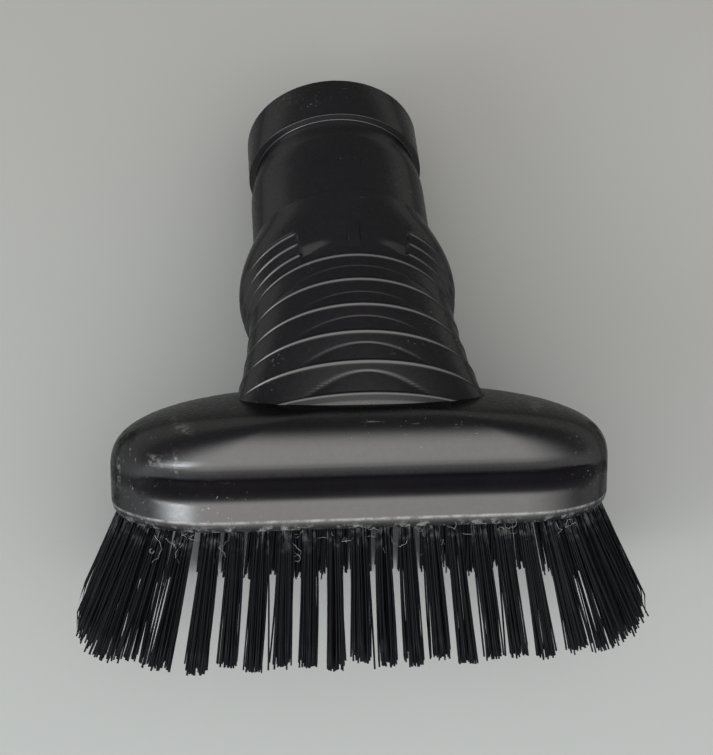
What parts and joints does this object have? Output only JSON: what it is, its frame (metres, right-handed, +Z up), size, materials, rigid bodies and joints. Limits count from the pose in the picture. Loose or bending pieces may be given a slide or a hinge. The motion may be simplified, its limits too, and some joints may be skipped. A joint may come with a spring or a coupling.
{
  "type": "vacuum cleaner brush",
  "caption": "Stiff bristle vacuum brush: oblong head ringed with leaning tufts, ribbed bent neck and round tube cuff that slides on a wand.",
  "frame": {"origin": "middle of the object's footprint, on the table it lies on", "axes": "+Z up from the table; +Y runs from the bristles towards the tube's mouth; +X along the head, to the right seen from the bristle side"},
  "size_m": [0.1094, 0.1273, 0.0615],
  "materials": {
    "moulded_housing": "satin, dark charcoal, with fine wear and dust",
    "moulded_plate": "matte, black",
    "anchor_wire": "drawn wire",
    "stiff_bristle": "black filaments with a faint blue sheen, dusty at the roots"
  },
  "bodies": {
    "root": {"housing": "moulded_housing", "bristle_plate": "moulded_plate", "anchor_wires": "anchor_wire", "tuft_01": "stiff_bristle", "tuft_02": "stiff_bristle", "tuft_03": "stiff_bristle", "tuft_04": "stiff_bristle", "tuft_05": "stiff_bristle", "tuft_06": "stiff_bristle", "tuft_07": "stiff_bristle", "tuft_08": "stiff_bristle", "tuft_09": "stiff_bristle", "tuft_10": "stiff_bristle", "tuft_11": "stiff_bristle", "tuft_12": "stiff_bristle", "tuft_13": "stiff_bristle", "tuft_14": "stiff_bristle", "tuft_15": "stiff_bristle", "tuft_16": "stiff_bristle", "tuft_17": "stiff_bristle", "tuft_18": "stiff_bristle", "tuft_19": "stiff_bristle", "tuft_20": "stiff_bristle", "tuft_21": "stiff_bristle", "tuft_22": "stiff_bristle", "tuft_23": "stiff_bristle", "tuft_24": "stiff_bristle", "tuft_25": "stiff_bristle", "tuft_26": "stiff_bristle", "tuft_27": "stiff_bristle", "tuft_28": "stiff_bristle", "tuft_29": "stiff_bristle", "tuft_30": "stiff_bristle", "tuft_31": "stiff_bristle", "tuft_32": "stiff_bristle", "tuft_33": "stiff_bristle", "tuft_34": "stiff_bristle", "tuft_35": "stiff_bristle", "tuft_36": "stiff_bristle", "tuft_37": "stiff_bristle", "tuft_38": "stiff_bristle", "tuft_39": "stiff_bristle", "tuft_40": "stiff_bristle", "tuft_41": "stiff_bristle", "tuft_42": "stiff_bristle", "tuft_43": "stiff_bristle", "tuft_44": "stiff_bristle", "tuft_45": "stiff_bristle", "tuft_46": "stiff_bristle", "tuft_47": "stiff_bristle", "tuft_48": "stiff_bristle", "tuft_49": "stiff_bristle", "tuft_50": "stiff_bristle"}
  },
  "joints": []
}
